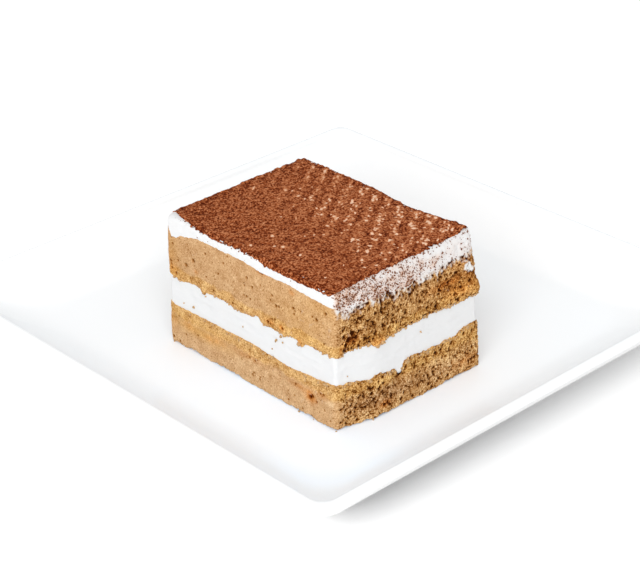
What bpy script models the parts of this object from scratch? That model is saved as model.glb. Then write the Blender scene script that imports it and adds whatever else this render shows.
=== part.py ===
"""Tiramisu portion on a square porcelain plate.

+Z is up.  The origin is the centre of the plate's underside, at the level that the foot stands on.
The portion's smooth cut face looks along -Y and its coarse, crumbly face along +X.
Sizes are in millimetres; MM turns them into metres where the meshes are made.
"""
import math

import bmesh
import bpy

MM = 0.001

# Plate: a square coupe plate with a low turned-up rim and a set-in foot.
PLATE_SIDE = 200.0
PLATE_CORNER_RADIUS = 4.0
PLATE_CORNER_GROWTH = 0.55     # how much rounder each outline gets per millimetre of inset
LIP_HEIGHT = 21.0
LIP_THICKNESS = 3.6
LIP_ROUNDING = 1.6
WELL_HEIGHT = 8.0
WELL_INSET = 26.0
UNDERSIDE_HEIGHT = 3.2         # where the underside meets the outside of the foot
UNDERSIDE_INSET = 28.0
FOOT_RECESS = 2.6
FOOT_INSET = 31.0
FOOT_WIDTH = 3.4
FOOT_EDGE = 0.5                # the foot's edges are taken off by this much
FOOT_FILLET = (0.8, 1.0)       # where the foot meets the underside: beside it, and below it
RECESS_FILLET = 1.4            # beside the foot's inner side, up to the recess
SWEEP = 2.6                    # how much steeper the underside gets towards the lip
LIP_STEP = 0.3                 # the lip's inner edge lies lower than its outer edge by this much
PLATE_CORNER_STEPS = 8
PLATE_SIDE_STEPS = 5

# Portion: a rectangular cut, five layers, standing near the plate's front corner.
PORTION_LENGTH = 82.0
PORTION_WIDTH = 64.0
PORTION_HEIGHT = 50.0
PORTION_CENTRE = (15.2, -20.2)
PORTION_CORNER_RADIUS = 1.6
GAP = 0.32                     # kept between touching pieces
COCOA_THICKNESS = 0.9
COCOA_SHOULDER = 0.35          # how far the cocoa's rim lies below its middle
COCOA_RIM_INSET = (0.3, 0.95, 0.35, 0.35)  # from the cream's edge, on each face
COCOA_RAGGED = 0.14            # how far each of the two waves of the cocoa's rim swings
COCOA_BARE_END = 3.0           # further inset at the far end of the front face
CREAM_EDGE_DROP = 1.0          # the cream's top rounds over by this much at its edge

FRONT, RIGHT, BACK, LEFT = range(4)
FACE_STEPS = (27, 21, 19, 16)
CORNER_STEPS = 2

# Inset of the rings that close a layer above and below, from its cut faces.
CAP_INSET = 4.0
TOP_INSETS = (3.0, 8.0, 18.0)

# Where two layers meet along the cut faces: distance along the face from its middle, and height.
# The front face runs along X and the right face along Y.  The hidden faces get a plain wave.
LOWER_LINE = {
    "mean": 15.4, "wave": 0.5,
    FRONT: ((-41, 15.0), (-15, 15.7), (0, 16.0), (13, 15.2), (19, 14.6), (30, 15.8), (41, 16.7)),
    RIGHT: ((-31, 16.6), (-25, 16.0), (-22, 15.0), (-14, 15.6), (-10, 14.6), (-7.6, 14.2), (-6.4, 12.2),
            (-5.2, 12.4), (-4.0, 16.0), (9, 15.7), (20, 15.4), (26, 17.0), (31, 16.8)),
}
MIDDLE_LINE = {
    "mean": 26.6, "wave": 0.5,
    FRONT: ((-41, 26.8), (-34, 26.0), (-29, 27.0), (-24.5, 26.6), (-22, 24.6), (-19.5, 26.8), (-12, 27.0),
            (-6, 26.1), (1, 26.2), (4.6, 27.8), (7, 26.0), (16, 26.2), (18.2, 25.2), (20, 26.8),
            (22.6, 26.6), (25, 24.5), (28, 26.7), (41, 27.0)),
    RIGHT: ((-31, 26.4), (-26, 27.9), (-19, 27.6), (-16.5, 26.0), (-13, 25.9), (-11, 27.0), (2, 27.6),
            (12, 27.8), (17, 27.0), (24, 26.4), (32, 27.0)),
}
UPPER_LINE = {
    "mean": 45.2, "wave": 0.5,
    FRONT: ((-41, 41.8), (-36.5, 42.0), (-32.5, 44.0), (-24, 45.6), (-4, 45.9), (8, 45.0), (20, 45.3),
            (28, 44.8), (41, 44.6)),
    RIGHT: ((-31, 43.2), (-28, 42.0), (-22, 43.1), (-16, 42.5), (-9, 41.8), (3, 41.5), (14, 41.6),
            (24, 42.0), (31, 42.4)),
}

# Dents and lumps of the cut faces: face, distance along it, height, outward depth, radius.
FACE_FEATURES = (
    (RIGHT, -6.5, 11.5, -1.6, 3.0),
    (RIGHT, -12.0, 26.8, 0.7, 3.5),
    (RIGHT, 30.0, 29.0, 1.2, 5.0),
    (FRONT, 14.0, 10.5, -0.7, 3.0),
    (FRONT, -40.0, 8.0, -1.2, 4.0),
    (FRONT, 39.0, 30.0, 0.6, 4.0),
)


def ease(value):
    """Smooth step from 0 to 1."""
    value = min(max(value, 0.0), 1.0)
    return value * value * (3.0 - 2.0 * value)


def smooth_interpolate(knots, position):
    """Height at a position, easing from knot to knot."""
    if position <= knots[0][0]:
        return knots[0][1]
    for (start, low), (end, high) in zip(knots, knots[1:]):
        if position <= end:
            return low + (high - low) * ease((position - start) / (end - start))
    return knots[-1][1]


# ---------------------------------------------------------------------------------------------
# The portion's plan and faces
# ---------------------------------------------------------------------------------------------

def outline_stations(inset):
    """Points round the portion's plain rectangle, as (x, y, outward x, outward y, face, along)."""
    half_x = PORTION_LENGTH / 2 - inset
    half_y = PORTION_WIDTH / 2 - inset
    radius = max(PORTION_CORNER_RADIUS - inset, 0.4)
    stations = []
    turn = (-90.0, 0.0, 90.0, 180.0)
    for face in (FRONT, RIGHT, BACK, LEFT):
        normal = (math.cos(math.radians(turn[face])), math.sin(math.radians(turn[face])))
        tangent = (-normal[1], normal[0])
        reach = half_y if face in (FRONT, BACK) else half_x
        half_run = (half_x if face in (FRONT, BACK) else half_y) - radius
        for step in range(FACE_STEPS[face] + 1):
            along = -half_run + 2 * half_run * step / FACE_STEPS[face]
            x = normal[0] * reach + tangent[0] * along
            y = normal[1] * reach + tangent[1] * along
            stations.append((x, y, *normal, face, along * (1 if face in (FRONT, RIGHT) else -1)))
        for step in range(1, CORNER_STEPS):
            angle = math.radians(turn[face] + 90.0 * step / CORNER_STEPS)
            centre_x = normal[0] * (reach - radius) + tangent[0] * half_run
            centre_y = normal[1] * (reach - radius) + tangent[1] * half_run
            out = (math.cos(angle), math.sin(angle))
            along = half_run + radius / 2
            stations.append((centre_x + radius * out[0], centre_y + radius * out[1], *out, face,
                             along * (1 if face in (FRONT, RIGHT) else -1)))
    return stations


def right_face(y, z):
    """X of the coarse face: it spreads towards its foot and towards its far end."""
    far = (y + PORTION_WIDTH / 2) / PORTION_WIDTH
    foot = 41.4 + 3.4 * ease(far / 0.28)
    top = 40.6 - 2.0 * far
    return top + (foot - top) * math.sqrt(max(1.0 - z / PORTION_HEIGHT, 0.0))


def left_face(z):
    """X of the far end of the cut face."""
    return -41.6 - 1.6 * (1.0 - z / PORTION_HEIGHT)


def front_face(x, z):
    """Y of the smooth cut face."""
    left = 0.5 - x / PORTION_LENGTH
    return -32.2 + (0.9 * left - 0.4) * (1.0 - z / PORTION_HEIGHT)


def back_face(x, z):
    """Y of the back face, with a shallow hollow along its top edge."""
    hollow = 1.9 * math.exp(-((x - 14.0) / 11.0) ** 2) * ease(z / PORTION_HEIGHT * 2.0 - 1.0)
    return 32.2 - 0.7 * z / PORTION_HEIGHT - hollow


def place(x, y, z):
    """Moves a point of the plain rectangle onto the portion's real plan at a height."""
    across = 0.5 + x / PORTION_LENGTH
    deep = 0.5 + y / PORTION_WIDTH
    real_x = left_face(z) + (right_face(y, z) - left_face(z)) * across
    real_y = front_face(x, z) + (back_face(x, z) - front_face(x, z)) * deep
    return real_x, real_y


def line_height(line, face, along, inset):
    """Height at which two layers meet, flattening from the cut face inwards."""
    if face in line:
        edge = smooth_interpolate(line[face], along)
    else:
        edge = line["mean"] + line["wave"] * math.sin(along / 3.1 + 2.0 * face)
        edge += 0.5 * line["wave"] * math.sin(along / 1.7 + face)
    return line["mean"] + (edge - line["mean"]) * ease(1.0 - inset / CAP_INSET)


def face_feature(face, along, z):
    """Outward depth of the dents and lumps near a place on a cut face."""
    depth = 0.0
    for feature_face, feature_along, feature_z, feature_depth, radius in FACE_FEATURES:
        if feature_face == face:
            distance = math.hypot(along - feature_along, z - feature_z)
            depth += feature_depth * math.exp(-(distance / radius) ** 2)
    return depth


def crumb(face, along, z):
    """Slow unevenness of a broken sponge face."""
    wave = 0.34 * math.sin(along / 2.3 + z / 4.1 + face)
    return wave + 0.26 * math.sin(along / 1.35 - z / 2.6 + 2.0 * face)


# ---------------------------------------------------------------------------------------------
# Layers, built as stacks of rings round the portion
# ---------------------------------------------------------------------------------------------

def interface_ring(line, inset, lift):
    """One ring of the surface where two layers meet, lifted by half the gap or lowered by it."""
    ring = []
    for x, y, _, _, face, along in outline_stations(inset):
        z = line_height(line, face, along, inset)
        real_x, real_y = place(x, y, z)
        ring.append((real_x, real_y, z + lift))
    return ring


def side_ring(lower, upper, fraction, stand_out, roughness):
    """A ring between two rings of a layer's side, standing out by a shape of its own."""
    ring = []
    swell = math.sin(math.pi * fraction) ** 0.4
    for low, high, station in zip(lower, upper, outline_stations(0.0)):
        _, _, out_x, out_y, face, along = station
        x, y, z = (a + (b - a) * fraction for a, b in zip(low, high))
        out = stand_out + roughness * crumb(face, along, z) + face_feature(face, along, z)
        ring.append((x + out_x * out * swell, y + out_y * out * swell, z))
    return ring


def side_rings(lower, upper, steps, stand_out, roughness):
    """The rings strictly between a layer's lower and upper edge, closer together at both edges."""
    rings = []
    for step in range(1, steps):
        fraction = 0.5 - 0.5 * math.cos(math.pi * step / steps)
        rings.append(side_ring(lower, upper, fraction, stand_out, roughness))
    return rings


def top_height(x, y):
    """Height of the cream's top surface, under the cocoa."""
    swell = 0.25 * math.sin(x / 9.0 + 0.6) * math.sin(y / 8.0 - 0.4)
    return PORTION_HEIGHT - COCOA_THICKNESS - GAP + swell


def cocoa_rim_inset(face, along):
    """How far the cocoa's rim stays back from the cream's edge."""
    ragged = COCOA_RAGGED * (math.sin(along / 1.1 + face) + math.sin(along / 2.9))
    from_bare_spot = (along + PORTION_LENGTH / 2 - 5.5) / 5.0
    bare_end = COCOA_BARE_END * math.exp(-from_bare_spot ** 2) if face == FRONT else 0.0
    return COCOA_RIM_INSET[face] + ragged + bare_end


def top_ring(inset, lift, drop=0.0):
    """A ring of the top surface at an inset, or along the cocoa's ragged rim for no inset."""
    ring = []
    for x, y, out_x, out_y, face, along in outline_stations(inset or 0.0):
        if inset is None:
            rim = cocoa_rim_inset(face, along)
            x, y = x - out_x * rim, y - out_y * rim
        z = top_height(x, y)
        real_x, real_y = place(x, y, PORTION_HEIGHT)
        ring.append((real_x, real_y, z + lift - drop))
    return ring


def cream_edge_ring():
    """The rounded edge of the top cream, lower than its middle."""
    ring = []
    for x, y, _, _, face, along in outline_stations(0.0):
        z = top_height(x, y) - CREAM_EDGE_DROP - 0.2 * math.sin(along / 3.0 + face)
        real_x, real_y = place(x, y, z)
        ring.append((real_x, real_y, z))
    return ring


def foot_ring(inset, z):
    """A ring of the portion's underside."""
    return [(*place(x, y, z), z) for x, y, *_ in outline_stations(inset)]


def sponge_lower_rings():
    low = foot_ring(0.5, 0.0)
    high = interface_ring(LOWER_LINE, 0.0, -GAP / 2)
    rings = [low, foot_ring(0.0, 0.7)]
    rings += side_rings(rings[-1], high, 5, 0.35, 1.0)
    return rings + [high, interface_ring(LOWER_LINE, CAP_INSET, -GAP / 2)]


def cream_middle_rings():
    low = interface_ring(LOWER_LINE, 0.0, GAP / 2)
    high = interface_ring(MIDDLE_LINE, 0.0, -GAP / 2)
    rings = [interface_ring(LOWER_LINE, CAP_INSET, GAP / 2), low]
    rings += side_rings(low, high, 4, -0.35, 0.25)
    return rings + [high, interface_ring(MIDDLE_LINE, CAP_INSET, -GAP / 2)]


def sponge_upper_rings():
    low = interface_ring(MIDDLE_LINE, 0.0, GAP / 2)
    high = interface_ring(UPPER_LINE, 0.0, -GAP / 2)
    rings = [interface_ring(MIDDLE_LINE, CAP_INSET, GAP / 2), low]
    rings += side_rings(low, high, 6, 0.35, 1.0)
    return rings + [high, interface_ring(UPPER_LINE, CAP_INSET, -GAP / 2)]


def cream_top_rings():
    low = interface_ring(UPPER_LINE, 0.0, GAP / 2)
    high = cream_edge_ring()
    rings = [interface_ring(UPPER_LINE, CAP_INSET, GAP / 2), low]
    rings += side_rings(low, high, 4, 0.15, 0.3)
    rings += [high, top_ring(None, 0.0, COCOA_SHOULDER)]
    return rings + [top_ring(inset, 0.0) for inset in TOP_INSETS]


def cocoa_rings():
    rings = [top_ring(inset, GAP) for inset in reversed(TOP_INSETS)]
    rings += [top_ring(None, GAP, COCOA_SHOULDER)]
    rings += [top_ring(None, GAP + COCOA_THICKNESS / 2, COCOA_SHOULDER)]
    return rings + [top_ring(inset, GAP + COCOA_THICKNESS) for inset in TOP_INSETS]


# ---------------------------------------------------------------------------------------------
# Plate
# ---------------------------------------------------------------------------------------------

def rounded_square(inset, height):
    """Outline of the plate at an inset from its lip's outer edge."""
    half = PLATE_SIDE / 2 - inset
    radius = PLATE_CORNER_RADIUS + PLATE_CORNER_GROWTH * inset
    ring = []
    for corner in range(4):
        turn = math.radians(90.0 * corner - 90.0)
        normal = (math.cos(turn), math.sin(turn))
        tangent = (-normal[1], normal[0])
        run = half - radius
        for step in range(PLATE_SIDE_STEPS):
            along = -run + 2 * run * step / PLATE_SIDE_STEPS
            ring.append((normal[0] * half + tangent[0] * along,
                         normal[1] * half + tangent[1] * along, height))
        for step in range(PLATE_CORNER_STEPS):
            angle = turn + math.pi / 2 * step / PLATE_CORNER_STEPS
            ring.append((normal[0] * run + tangent[0] * run + radius * math.cos(angle),
                         normal[1] * run + tangent[1] * run + radius * math.sin(angle), height))
    return ring


def plate_profile():
    """(inset, height) from the middle of the underside, out round the lip, to the well."""
    foot_in = FOOT_INSET + FOOT_WIDTH
    profile = [(foot_in + RECESS_FILLET, FOOT_RECESS), (foot_in, FOOT_EDGE), (foot_in - FOOT_EDGE, 0.0)]
    profile += [(FOOT_INSET + FOOT_EDGE, 0.0), (FOOT_INSET, FOOT_EDGE)]
    profile += [(FOOT_INSET - FOOT_FILLET[0], UNDERSIDE_HEIGHT - FOOT_FILLET[1])]
    # The underside sweeps up and out, ever steeper, to the lip's outer edge.
    lip_base = LIP_HEIGHT - LIP_ROUNDING
    for step in range(9):
        share = step / 8
        inset = UNDERSIDE_INSET * (1.0 - share)
        profile.append((inset, UNDERSIDE_HEIGHT + (lip_base - UNDERSIDE_HEIGHT) * share ** SWEEP))
    # The lip is a half round.
    for step in range(1, 5):
        angle = math.pi * step / 5
        inset = LIP_THICKNESS / 2 * (1.0 - math.cos(angle))
        profile.append((inset, lip_base + LIP_ROUNDING * math.sin(angle)))
    # The inner slope falls in an easy curve to the well.
    for step in range(8):
        share = step / 7
        inset = LIP_THICKNESS + (WELL_INSET - LIP_THICKNESS) * share
        profile.append((inset, WELL_HEIGHT + (lip_base - LIP_STEP - WELL_HEIGHT) * (1.0 - share) ** 2))
    return profile


# ---------------------------------------------------------------------------------------------
# Meshes, materials, objects
# ---------------------------------------------------------------------------------------------

def stack_mesh(name, rings):
    """A closed mesh of rings joined one to the next, with a face over both ends."""
    mesh = bpy.data.meshes.new(name)
    build = bmesh.new()
    loops = [[build.verts.new([c * MM for c in point]) for point in ring] for ring in rings]
    for below, above in zip(loops, loops[1:]):
        for index in range(len(below)):
            following = (index + 1) % len(below)
            build.faces.new((below[index], below[following], above[following], above[index]))
    build.faces.new(list(reversed(loops[0])))
    build.faces.new(loops[-1])
    bmesh.ops.triangulate(build, faces=build.faces[:])
    bmesh.ops.recalc_face_normals(build, faces=build.faces[:])
    build.to_mesh(mesh)
    build.free()
    return mesh


def make_material(name, colour, roughness):
    material = bpy.data.materials.new(name)
    material.use_nodes = True
    shader = material.node_tree.nodes["Principled BSDF"]
    shader.inputs["Base Color"].default_value = (*colour, 1.0)
    shader.inputs["Roughness"].default_value = roughness
    shader.inputs["Metallic"].default_value = 0.0
    material.diffuse_color = (*colour, 1.0)
    return material


def add_object(name, mesh, material, parent, location=(0.0, 0.0, 0.0), sharp_angle=40.0):
    mesh.materials.append(material)
    mesh.shade_smooth()
    mesh.set_sharp_from_angle(angle=math.radians(sharp_angle))
    item = bpy.data.objects.new(name, mesh)
    item.location = [value * MM for value in location]
    item.parent = parent
    bpy.context.scene.collection.objects.link(item)
    return item


def main():
    for item in list(bpy.data.objects):
        bpy.data.objects.remove(item)

    porcelain = make_material("porcelain", (0.88, 0.88, 0.88), 0.18)
    sponge_light = make_material("sponge_light", (0.62, 0.38, 0.17), 0.9)
    sponge_dark = make_material("sponge_dark", (0.55, 0.32, 0.13), 0.9)
    cream = make_material("cream", (0.88, 0.87, 0.85), 0.55)
    cocoa = make_material("cocoa", (0.26, 0.085, 0.035), 0.95)

    root = bpy.data.objects.new("tiramisu_portion", None)
    bpy.context.scene.collection.objects.link(root)

    plate_rings = [rounded_square(inset, height) for inset, height in plate_profile()]
    add_object("plate", stack_mesh("plate", plate_rings), porcelain, root)

    stand = (*PORTION_CENTRE, WELL_HEIGHT + GAP)
    layers = (
        ("sponge_lower", sponge_lower_rings(), sponge_dark),
        ("cream_middle", cream_middle_rings(), cream),
        ("sponge_upper", sponge_upper_rings(), sponge_light),
        ("cream_top", cream_top_rings(), cream),
        ("cocoa_dusting", cocoa_rings(), cocoa),
    )
    for name, rings, material in layers:
        add_object(name, stack_mesh(name, rings), material, root, location=stand)


main()
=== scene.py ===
"""Looks of the tiramisu portion and its plate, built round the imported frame.

Lengths are in millimetres, and MM turns them into metres where the meshes are made.  The portion's
layers are modelled from its own centre at its underside, which stands at STAND in the plate's frame.
"""
import math
from types import SimpleNamespace

import bpy
import numpy as np
from mathutils import Matrix, Vector


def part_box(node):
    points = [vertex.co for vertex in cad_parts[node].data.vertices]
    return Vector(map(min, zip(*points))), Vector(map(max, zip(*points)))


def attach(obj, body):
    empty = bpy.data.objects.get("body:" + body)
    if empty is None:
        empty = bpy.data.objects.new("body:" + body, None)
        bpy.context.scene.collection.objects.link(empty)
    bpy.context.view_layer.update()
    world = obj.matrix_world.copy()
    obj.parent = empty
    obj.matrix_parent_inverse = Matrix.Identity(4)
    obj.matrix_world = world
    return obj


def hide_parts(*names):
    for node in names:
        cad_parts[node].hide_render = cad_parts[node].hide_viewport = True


MM = 0.001

# ---- Sizes: those of the frame's part, repeated here, and those of the fine meshes ----

PLATE_CORNER_RADIUS = 4.0
PLATE_CORNER_GROWTH = 0.55  # how much rounder each outline gets per millimetre of inset
LIP_THICKNESS = 3.6
LIP_ROUNDING = 1.6
WELL_HEIGHT = 8.0
WELL_INSET = 26.0
UNDERSIDE_HEIGHT = 3.2
UNDERSIDE_INSET = 28.0
FOOT_RECESS = 2.6
FOOT_INSET = 31.0
FOOT_WIDTH = 3.4

PORTION_LENGTH = 82.0
PORTION_WIDTH = 64.0
PORTION_HEIGHT = 50.0
PORTION_CENTRE = (15.2, -20.2)
PORTION_CORNER_RADIUS = 1.6

# Where the portion's faces stand, from its centre, and how they lean.
RIGHT_TOP_X = 40.6
RIGHT_TOP_FALL = 2.0  # how much farther in its top edge ends at its far end
RIGHT_FOOT_X = 41.4
RIGHT_FOOT_SPREAD = 3.4  # how much farther out its foot soon runs
LEFT_TOP_X = -41.6
LEFT_FOOT_SPREAD = 1.6
FRONT_TOP_Y = -32.2
BACK_FOOT_Y = 32.2
BACK_TOP_FALL = 0.7
BACK_HOLLOW_DEPTH = 1.9
BACK_HOLLOW_X = 14.0
BACK_HOLLOW_REACH = 11.0

POWDER_THICKNESS = 0.4
CAP_INSET = 4.0  # of the flat ring that closes a layer
TOP_INSETS = (3.0, 8.0, 18.0)  # of the rings of the cream's top

FRONT, RIGHT, BACK, LEFT = FACES = range(4)
EDGE_RADIUS = (0.9, 1.4, 0.4, 0.7)  # of the cream's rounded top edge on each face
CORNER_ROUNDING = 1.7  # how much rounder that edge is at the front face's left end
CORNER_REACH = 3.2
COCOA_RIM_INSET = (0.15, 0.95, 0.25, 0.25)  # how far the powder stays back from each face
COCOA_BARE_END = 3.2  # how much farther back it stays at the front face's left end
COCOA_BARE_LENGTH = 16.0

# How low the powder hangs down the front face: distance along it, and height of its hem.
COCOA_HEM = (
    (-41, 49.5), (-34, 49.3), (-30.6, 49.1), (-29.5, 47.9), (-28.4, 49), (-20, 48.9), (-13, 48.5),
    (-7, 49.2), (-4, 49.5), (4, 48.8), (8, 48.5), (9, 47.8), (10, 48.3), (20, 48), (27, 48.1),
    (36, 48.6), (41, 49.2),
)

SPACING = 0.26  # between the points of the fine food meshes
FACE_SPACING = (SPACING, SPACING, 0.36, 0.36)
CORNER_STEPS = 8
CREAM_OVERLAP = 0.25  # how far the cream reaches behind its neighbours' edges

# Where two layers meet: its height on the whole, and for each face that is cut to a line of its own,
# distance along the face from its middle, and height.
LOWER_LINE = {
    "mean": 15.4,
    FRONT: ((-41, 15.0), (-15, 15.7), (0, 16.0), (13, 15.2), (19, 14.6), (30, 15.8), (41, 16.7)),
    RIGHT: ((-31, 16.6), (-25, 16.0), (-22, 15.0), (-14, 15.6), (-10, 14.6), (-7.6, 14.2), (-6.4, 12.2),
            (-5.2, 12.4), (-4.0, 16.0), (9, 15.7), (20, 15.4), (26, 17.0), (31, 16.8)),
}
MIDDLE_LINE = {
    "mean": 26.6,
    FRONT: ((-41, 26.8), (-34, 26.0), (-29, 27.0), (-24, 26.6), (-22.6, 24.2), (-21.2, 26.7),
            (-12, 27.0), (-6, 26.1), (1, 26.2), (4.6, 27.8), (6.6, 25.8), (16, 26.2), (18.2, 25.2),
            (20, 26.8), (23.4, 26.6), (25.4, 24.5), (27.2, 26.7), (41, 27.0)),
    RIGHT: ((-31, 26.4), (-26, 27.9), (-19, 27.6), (-16.5, 26.0), (-13, 25.9), (-11, 27.0), (2, 27.6),
            (12, 27.8), (17, 27.0), (24, 26.4), (32, 27.0)),
}
UPPER_LINE = {
    "mean": 45.2,
    FRONT: ((-41, 41.8), (-36.5, 42.0), (-32.5, 44.0), (-24, 45.6), (-4, 45.9), (8, 45.0), (20, 45.3),
            (28, 44.8), (41, 44.6)),
    RIGHT: ((-31, 43.2), (-28, 42.0), (-22, 43.1), (-16, 42.5), (-11.5, 41.8), (-9.4, 43.6), (-7.4, 41.8),
            (1.4, 41.5), (3.1, 42.9), (4.8, 41.5), (12.0, 41.9), (14.6, 42.2), (16.6, 43.0), (18.3, 42.4),
            (20.0, 43.2), (21.8, 42.6), (31, 43.2)),
}

# Dents and lumps of each cut face: distance along it, height, outward depth, radius.
FACE_FEATURES = {
    FRONT: ((14, 10.5, -0.7, 3), (-40, 8, -1.2, 4), (39, 30, 0.6, 4)),
    RIGHT: ((-6.5, 11.5, -1.6, 3), (-12, 26.8, 0.7, 3.5), (30, 29, 1.2, 5), (32.6, 28.6, 1.5, 2.6),
            (-31, 29, 0.6, 1.8), (-31, 9, 0.6, 2.2)),
    BACK: ((40.6, 28.6, 1.5, 2.6),),
}

# Single holes that stand out on each face: distance along it, height, radius, depth.
HOLES = {
    FRONT: ((-27.1, 36.7, 1, 1.1), (-31.1, 33.5, 0.9, 0.9), (-35.3, 33.6, 0.6, 0.6),
            (-0.2, 40.5, 0.75, 0.9), (-1.5, 37.1, 0.45, 0.5), (6.4, 45, 0.8, 0.7),
            (7.5, 44.9, 0.7, 0.6), (4.6, 45.2, 0.5, 0.5), (12.1, 38.5, 0.55, 0.5),
            (11.4, 36.7, 0.5, 0.5), (14, 35.6, 0.7, 0.8), (15.2, 35.8, 0.6, 0.7),
            (22.1, 37.8, 0.6, 0.6), (26, 38.1, 0.4, 0.4), (31, 38.3, 0.5, 0.5), (32.8, 37.9, 0.8, 0.8),
            (37.1, 41.7, 0.7, 0.7), (9.6, 27.7, 0.8, 0.8), (10.7, 27.6, 0.5, 0.6), (16.4, 28, 0.7, 0.6),
            (11.7, 29.6, 0.5, 0.5), (-7.6, 27.9, 0.6, 0.5), (-36.5, 28.1, 0.8, 0.8),
            (-39, 31, 0.6, 0.6), (-38.6, 29.6, 0.6, 0.6), (-39.6, 32.4, 0.6, 0.5), (30.3, 8.7, 1, 1.4),
            (29.2, 7.7, 1, 0.8), (22.4, 9.8, 0.6, 0.6), (1.4, 4.3, 0.6, 0.6), (2.1, 5.2, 0.5, 0.5),
            (5.3, 12.4, 0.5, 0.5), (0.3, 10.3, 0.5, 0.4), (3.1, 10.3, 0.45, 0.4),
            (35.6, 11.4, 0.55, 0.5), (33.9, 12.6, 0.4, 0.4), (-40.2, 1.8, 0.8, 0.7),
            (-36, 1.4, 0.6, 0.5), (22.1, 5.3, 0.4, 0.4)),
    RIGHT: ((-26.6, 31.8, 1.3, 1.6), (-24.6, 33.4, 1.2, 1.5), (-27.8, 30.6, 0.9, 1.2),
            (-9.4, 42.4, 1.1, 1.3), (3.1, 41.8, 1.1, 1.3), (-5.4, 41, 0.8, 0.9), (20, 42.2, 0.9, 1.1),
            (16.6, 41.7, 0.8, 1), (-28.1, 28.2, 0.8, 1), (-25.6, 28.4, 0.7, 0.9),
            (-22.6, 28.2, 0.7, 0.9), (-18.6, 28.6, 0.6, 0.9), (7, 28.4, 0.6, 0.9), (9, 28.3, 0.7, 0.9),
            (11.4, 28.3, 0.6, 0.9), (-16.2, 30.6, 0.7, 0.9), (-20, 30.3, 0.8, 1), (24.4, 32, 0.8, 0.9),
            (-10.6, 14.4, 0.9, 1.2), (-12.6, 14.9, 0.6, 0.9), (-5.7, 12, 0.9, 1.3),
            (-17.7, 7.3, 0.7, 1), (-13.4, 3.7, 0.9, 1), (1.2, 8.4, 0.8, 1), (9.4, 8.2, 0.7, 0.8),
            (14, 34.7, 0.8, 0.7), (26.5, 42, 0.8, 0.8), (0.3, 38.1, 0.8, 0.9), (2.2, 38.9, 0.6, 0.7),
            (-5.1, 34.8, 0.7, 0.8), (-16.7, 34.4, 0.8, 0.8), (22.9, 37.8, 0.6, 0.7),
            (23.9, 36.7, 0.6, 0.7), (18.5, 36, 0.7, 0.7)),
}
CRACK = ((-12.7, 41.5), (-12.4, 39.5), (-12.9, 38.0), (-12.3, 36.4))  # on the right face
CRACK_RADIUS = 0.75
CRACK_DEPTH = 0.5

# Soft patches of another look on each face of the sponges: distance along it, height, half the patch's
# length, half its height, strength.
GOLDEN_PATCHES = {
    FRONT: ((27, 34, 15, 8, 0.4), (-39, 34, 4, 9, 0.5), (36, 43, 8, 2.5, 0.4), (-25, 9.4, 15, 2.6, 0.9),
            (-39.5, 10, 3, 3, 0.5)),
    RIGHT: ((-14, 7, 17, 3.2, -0.7), (14, 5, 12, 3, -0.3), (2, 39, 10, 2.5, -0.3), (24, 31, 9, 4, 0.6),
            (0, 13, 31, 3, 0.3)),
}
WARM_PATCHES = {
    FRONT: ((1, 10.4, 7, 1.3, 0.5), (-15, 9.8, 3, 1.4, 0.5), (24, 9.8, 5, 1.2, 0.6),
            (35, 10.8, 4.5, 1.2, 0.5), (29.6, 8.2, 2.4, 1.9, 1.5), (7, 45, 2.2, 0.9, 1),
            (21.4, 43.1, 1.2, 0.9, 0.7), (10.5, 28.2, 2.6, 1, 0.6), (16.4, 28.2, 1.2, 1, 0.8),
            (24.8, 26.4, 1, 1.2, 0.7), (-39, 30.5, 2.8, 3.4, 0.6), (-25.8, 32.8, 1.2, 0.8, 0.6),
            (-31, 9.6, 3, 1.6, 0.35), (-20, 8.8, 2.5, 1.4, 0.35)),
    RIGHT: ((19, 35.8, 9, 1.5, 1.1), (23, 32, 8, 2.8, 0.55), (-15, 27.3, 3.4, 1.6, 0.9),
            (-31.2, 29, 1.9, 2.6, 0.55), (-31.2, 9, 1.9, 2.6, 0.55), (-25.5, 31.8, 3, 2.2, 0.8),
            (-13, 4, 2.6, 1.4, 0.8), (24, 4, 6, 2.5, 0.4), (26, 40, 5, 1.6, 0.4)),
}
# Negative strengths darken: those at the front face's pit (29.7, 8.2), the right face's dent (-6, 11.5)
# and its pits (-25.8, 32) are painted shade.
PALE_PATCHES = {
    FRONT: ((40, 9.4, 2, 1.2, 0.12), (29.7, 8.2, 1.9, 1.3, -0.16), (0, 10.2, 8, 0.9, -0.05),
            (23, 9.9, 5, 0.9, -0.08), (36, 11, 4, 0.9, -0.07), (-34, 37, 9, 5, -0.05)),
    RIGHT: ((-31.4, 29, 1.7, 2.6, 0.24), (-31.4, 8.8, 1.7, 2.4, 0.24), (-15, 27.3, 3.2, 1.3, 0.16),
            (-25.8, 32, 2.6, 2, -0.3), (-18.5, 30, 4, 1.5, -0.12), (19, 36, 9, 1.3, -0.12),
            (24, 31, 8, 2.4, 0.13), (-26, 40, 4, 2.2, -0.06), (20, 9, 12, 5, 0.12),
            (-6, 11.5, 1, 2.2, -0.3), (20, 34, 14, 6, -0.03), (-6, 6, 18, 5, -0.08),
            (-10, 6, 14, 3.5, -0.03)),
}
WHITE_PATCHES = {
    RIGHT: ((28, 38.3, 2.2, 1.7, 1.3), (29.4, 36.9, 1.2, 1, 0.9)),
}


# ---- Noise, the same on every run ----

def lattice_value(cells, seed):
    """A fixed random number from 0 to 1 for each whole-number lattice point."""
    key = cells[..., 0] * 73856093 ^ cells[..., 1] * 19349663 ^ cells[..., 2] * 83492791
    key = (key + seed * 40503) & 0xFFFFFFFF
    key = ((key ^ (key >> 15)) * 0x2C1B3C6D) & 0xFFFFFFFF
    key = ((key ^ (key >> 12)) * 0x297A2D39) & 0xFFFFFFFF
    return ((key ^ (key >> 15)) & 0xFFFFF) / 0xFFFFF


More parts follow.
